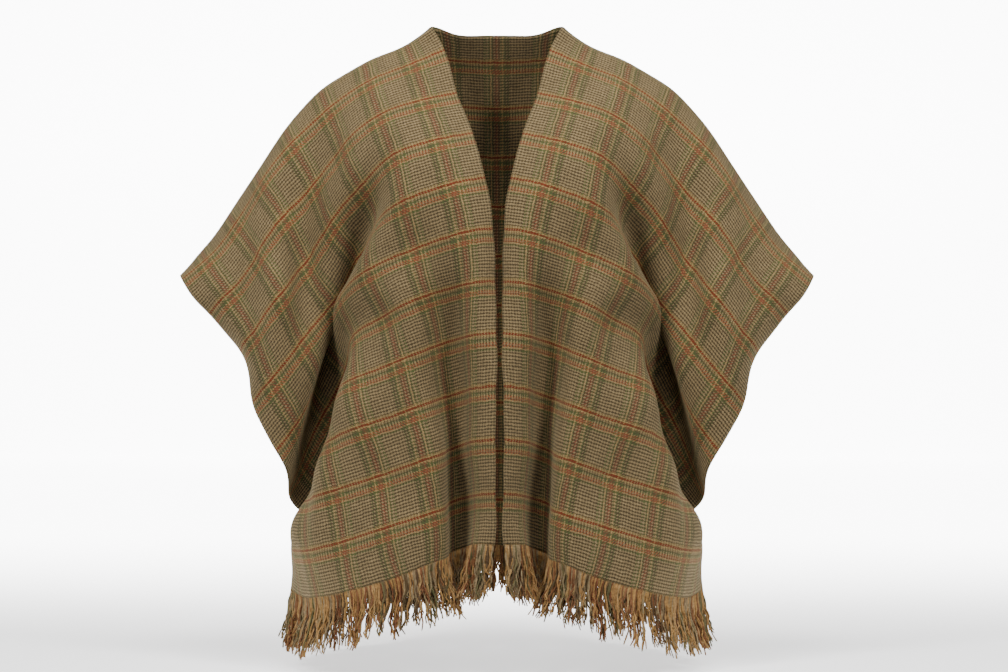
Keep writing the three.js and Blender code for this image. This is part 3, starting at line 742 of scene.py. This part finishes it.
# %% [markdown]
# ## The fringe
#
# The fringe is the warp itself: below the last weft thread the warp ends hang loose, a little crimped from
# the weave, and cling together in locks. So each yarn takes some of the colour of the warp thread above it,
# and more of a wool colour drawn by chance. The yarns of a lock lean towards its middle. They could be hair
# particles, but plain thin tubes export to any program and keep their place on the hem.

# %% Fringe yarns
YARN_SPACING = 1.05
YARN_RADIUS = 1.35
LOCK_WIDTH = 14.0
# (from, colour) by chance along the hem
YARN_COLOURS = [
    (0.0, (176, 132, 78)),
    (0.3, (128, 76, 46)),
    (0.48, (152, 130, 96)),
    (0.66, (88, 64, 42)),
    (0.8, (186, 148, 96)),
    (0.92, (98, 92, 58)),
]
YARN_RINGS = 9
YARN_SIDES = 4
SIDE_FLARE = 0.17
PLACE_JITTER = 0.5
LENGTH_SPREAD = (0.82, 1.06)
LEAN_SPREAD = 0.05
CRIMP_RANGE = (1.2, 3.2)
WAVES_RANGE = (1.4, 3.0)
ROOT_OVERLAP = 1.6
TAPER = 0.35


def yarn_group():
    """Chance wool colours over the warp colour, with twist as relief."""
    group, source, sink, n = new_group(
        "fringe_wool", [("Cloth", "NodeSocketVector")],
        [("Color", "NodeSocketColor"), ("Height", "NodeSocketFloat")])
    parts = group.nodes.new("ShaderNodeSeparateXYZ")
    group.links.new(source.outputs["Cloth"], parts.inputs[0])
    node = group.nodes.new("ShaderNodeGroup")
    node.node_tree = warp_threads
    group.links.new(n.math("MULTIPLY", parts.outputs["X"], 1000.0), node.inputs["Place"])
    chance = group.nodes.new("ShaderNodeTexWhiteNoise")
    chance.noise_dimensions = "1D"
    group.links.new(n.math("FLOOR", n.math("MULTIPLY", parts.outputs["X"], 420.0)), chance.inputs["W"])
    ramp_node = group.nodes.new("ShaderNodeValToRGB")
    ramp = ramp_node.color_ramp
    ramp.interpolation = "CONSTANT"
    while len(ramp.elements) < len(YARN_COLOURS):
        ramp.elements.new(0.5)
    for element, (start, colour) in zip(ramp.elements, YARN_COLOURS):
        element.position = start
        element.color = light(colour)
    group.links.new(chance.outputs["Value"], ramp_node.inputs["Fac"])
    golden = n.mix(0.75, node.outputs["Color"], ramp_node.outputs["Color"])
    spots = n.noise(source.outputs["Cloth"], 260.0, 3.0, 0.6)
    tone = n.math("ADD", n.math("MULTIPLY", spots, 1.1), 0.2)
    group.links.new(n.mix(1.0, golden, tone, "MULTIPLY"), sink.inputs["Color"])
    twist = n.math("SINE", n.math("MULTIPLY", parts.outputs["Y"], 3600.0))
    group.links.new(twist, sink.inputs["Height"])
    return group


def fringe(name, panel, start, end, seed, material):
    """One mesh of loose yarns below a hem, from flat place start to end."""
    rng = np.random.default_rng(seed)
    net, normals, line = panel["net"], panel["normals"], panel["u"]
    hem, above, out = net[:, -1], net[:, -3], normals[:, -1]
    places = np.arange(start, end, YARN_SPACING)
    places = places + rng.uniform(-PLACE_JITTER, PLACE_JITTER, len(places))
    points = []
    uvs = []
    faces = []
    side_turns = np.arange(YARN_SIDES) * 2 * math.pi / YARN_SIDES
    for u in places:
        root = np.array([np.interp(u, line, hem[:, k]) for k in range(3)])
        high = np.array([np.interp(u, line, above[:, k]) for k in range(3)])
        away = np.array([np.interp(u, line, out[:, k]) for k in range(3)])
        down = (root - high) / np.linalg.norm(root - high)
        lock_number = int(math.floor(u / LOCK_WIDTH))
        lock = (lock_number + 0.5) * LOCK_WIDTH
        ahead = np.array([np.interp(u + 3, line, hem[:, k]) - np.interp(u - 3, line, hem[:, k])
                          for k in range(3)])
        ahead /= max(np.linalg.norm(ahead), 1e-6)
        length = FRINGE_LENGTH * (1 + 0.09 * math.sin(lock_number * 1.7 + seed)) * rng.uniform(*LENGTH_SPREAD)
        gather_share = 0.25 + 0.4 * (0.5 + 0.5 * math.sin(lock_number * 2.3 + seed * 1.1))
        lean = rng.normal(0, LEAN_SPREAD) + 0.07 * math.sin(lock_number * 1.3 + seed * 0.7)
        lift = rng.normal(0, LEAN_SPREAD) + 0.05 * math.sin(lock_number * 2.9)
        crimp = rng.uniform(*CRIMP_RANGE)
        phase = rng.uniform(0, 2 * math.pi)
        waves = rng.uniform(*WAVES_RANGE)
        base = len(points)
        for r in range(YARN_RINGS):
            t = r / (YARN_RINGS - 1)
            hang = down * (1 - min(1.0, t * 1.5)) + np.array([0, 0, -1.0]) * min(1.0, t * 1.5)
            hang /= np.linalg.norm(hang)
            p = root - down * ROOT_OVERLAP * (1 - t) + hang * length * t
            p = p + ahead * ((lock - u) * gather_share * t + lean * length * t * t)
            p = p + away * (lift * length * t + SIDE_FLARE * length * t * t * abs(away[0]))
            p = p + (ahead * math.sin(phase + waves * 2 * math.pi * t)
                     + away * math.cos(phase * 1.7 + waves * 2 * math.pi * t)) * crimp * min(1.0, t * 2)
            radius = YARN_RADIUS * (1 - TAPER * t * t) * (1 + 0.2 * math.sin(t * 31 + phase))
            for turn in side_turns:
                points.append(p + ahead * math.cos(turn) * radius + away * math.sin(turn) * radius)
                uvs.append((u + panel["shift"], PANEL_LENGTH + t * length))
        for r in range(YARN_RINGS - 1):
            for s in range(YARN_SIDES):
                a = base + r * YARN_SIDES + s
                b = base + r * YARN_SIDES + (s + 1) % YARN_SIDES
                faces.append((a, b, b + YARN_SIDES, a + YARN_SIDES))
        tip = base + (YARN_RINGS - 1) * YARN_SIDES
        faces.append(tuple(range(tip, tip + YARN_SIDES)))
        faces.append(tuple(range(base + YARN_SIDES - 1, base - 1, -1)))
    return make_mesh(name, np.array(points), faces, np.array(uvs), material)


fringe_wool = wool_material("fringe_yarn", yarn_group(), 0.0002, 0.2)
half_back = half_neck + FRONT_WIDTH
yarns = {
    "front_left": fringe("yarns_front_left", panels["front_left"], 2, FRONT_WIDTH - 1, 11, fringe_wool),
    "front_right": fringe("yarns_front_right", panels["front_right"], 2, FRONT_WIDTH - 1, 23, fringe_wool),
    "back": fringe("yarns_back", panels["back"], -half_back + 1, half_back - 1, 37, fringe_wool),
}
print("yarn polygons", {name: len(piece.data.polygons) for name, piece in yarns.items()})

# %% [markdown]
# ## Putting the pieces on the body
#
# Every visual piece rides on the single body, and the solid of the frame that it stands for is hidden.

# %% Attach the pieces
for name in panels:
    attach(cloth[name], "root")
    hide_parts(name)
    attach(yarns[name], "root")
    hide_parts("fringe_" + name)

# %% [markdown]
# ## Stage, light and camera
#
# The photograph is a plain studio picture: a white sweep, soft light from above and in front, and a faint
# shadow under the fringe. A floor that curves up into a wall has no horizon line. The camera stands level
# with the middle of the garment, a little over three metres away.

# %% Stage
FLOOR_Z = -0.795
SWEEP_FRONT = -0.3
SWEEP_START = 5.4
SWEEP_RADIUS = 1.2
SWEEP_STEPS = 16
SWEEP_TOP = 1.2
SWEEP_HALF_WIDTH = 2.2
GLOW_START = 0.1
GLOW_END = 2.2
GLOW_UNDER = 1.1
GLOW_FAR = 9.0
profile = [(SWEEP_FRONT, FLOOR_Z), (SWEEP_START, FLOOR_Z)]
for k in range(1, SWEEP_STEPS + 1):
    turn = k / SWEEP_STEPS * math.pi / 2
    profile.append((SWEEP_START + math.sin(turn) * SWEEP_RADIUS,
                    FLOOR_Z + (1 - math.cos(turn)) * SWEEP_RADIUS))
profile.append((SWEEP_START + SWEEP_RADIUS, SWEEP_TOP))
sweep_mesh = bpy.data.meshes.new("sweep")
sweep_points = [(x, y, z) for y, z in profile for x in (-SWEEP_HALF_WIDTH, SWEEP_HALF_WIDTH)]
sweep_faces = [(2 * k, 2 * k + 1, 2 * k + 3, 2 * k + 2) for k in range(len(profile) - 1)]
sweep_mesh.from_pydata(sweep_points, [], sweep_faces)
sweep_mesh.polygons.foreach_set("use_smooth", [True] * len(sweep_faces))
sweep = bpy.data.objects.new("sweep", sweep_mesh)
bpy.context.scene.collection.objects.link(sweep)
paper = bpy.data.materials.new("paper")
paper.use_nodes = True
paper_shader = paper.node_tree.nodes["Principled BSDF"]
paper_shader.inputs["Base Color"].default_value = (0.9, 0.9, 0.9, 1)
paper_shader.inputs["Roughness"].default_value = 0.9
paper_shader.inputs["Emission Color"].default_value = (1, 1, 1, 1)
# the paper glows as painted light, little under the garment, so that the lamps' shadow of it still shows
# there, and more towards the back
paper_place = paper.node_tree.nodes.new("ShaderNodeNewGeometry")
paper_parts = paper.node_tree.nodes.new("ShaderNodeSeparateXYZ")
paper_glow = paper.node_tree.nodes.new("ShaderNodeMapRange")
paper_glow.interpolation_type = "SMOOTHSTEP"
paper_glow.inputs["From Min"].default_value = GLOW_START
paper_glow.inputs["From Max"].default_value = GLOW_END
paper_glow.inputs["To Min"].default_value = GLOW_UNDER
paper_glow.inputs["To Max"].default_value = GLOW_FAR
paper.node_tree.links.new(paper_place.outputs["Position"], paper_parts.inputs[0])
paper.node_tree.links.new(paper_parts.outputs["Y"], paper_glow.inputs["Value"])
paper.node_tree.links.new(paper_glow.outputs["Result"], paper_shader.inputs["Emission Strength"])
sweep_mesh.materials.append(paper)


def area_light(name, place, aim, size, power):
    data = bpy.data.lights.new(name, "AREA")
    data.shape = "DISK"
    data.size = size
    data.energy = power
    lamp = bpy.data.objects.new(name, data)
    lamp.location = place
    lamp.rotation_euler = (Vector(aim) - Vector(place)).to_track_quat("-Z", "Y").to_euler()
    bpy.context.scene.collection.objects.link(lamp)


# (name, place, aim, size, power)
LIGHTS = [
    ("left", (-1.9, -2.1, 1.8), (0, 0, -0.4), 0.8, 104),
    ("right", (1.9, -2.1, 1.7), (0, 0, -0.4), 0.8, 88),
    ("top", (0, -1.2, 2.4), (0, 0, -0.2), 1.0, 60),
]
for light_row in LIGHTS:
    area_light(*light_row)
world = bpy.data.worlds.new("studio")
bpy.context.scene.world = world
world.use_nodes = True
world.node_tree.nodes["Background"].inputs["Color"].default_value = (1, 1, 1, 1)
world.node_tree.nodes["Background"].inputs["Strength"].default_value = 0.07

camera_data = bpy.data.cameras.new("camera")
camera_data.sensor_fit = "HORIZONTAL"
camera_data.sensor_width = 36.0
camera_data.lens = 91.43
camera = bpy.data.objects.new("camera", camera_data)
camera.location = (0.009, -3.2, -0.386)
camera.rotation_euler = (math.pi / 2, 0, 0)
bpy.context.scene.collection.objects.link(camera)
bpy.context.scene.camera = camera
print("camera at", tuple(camera.location))
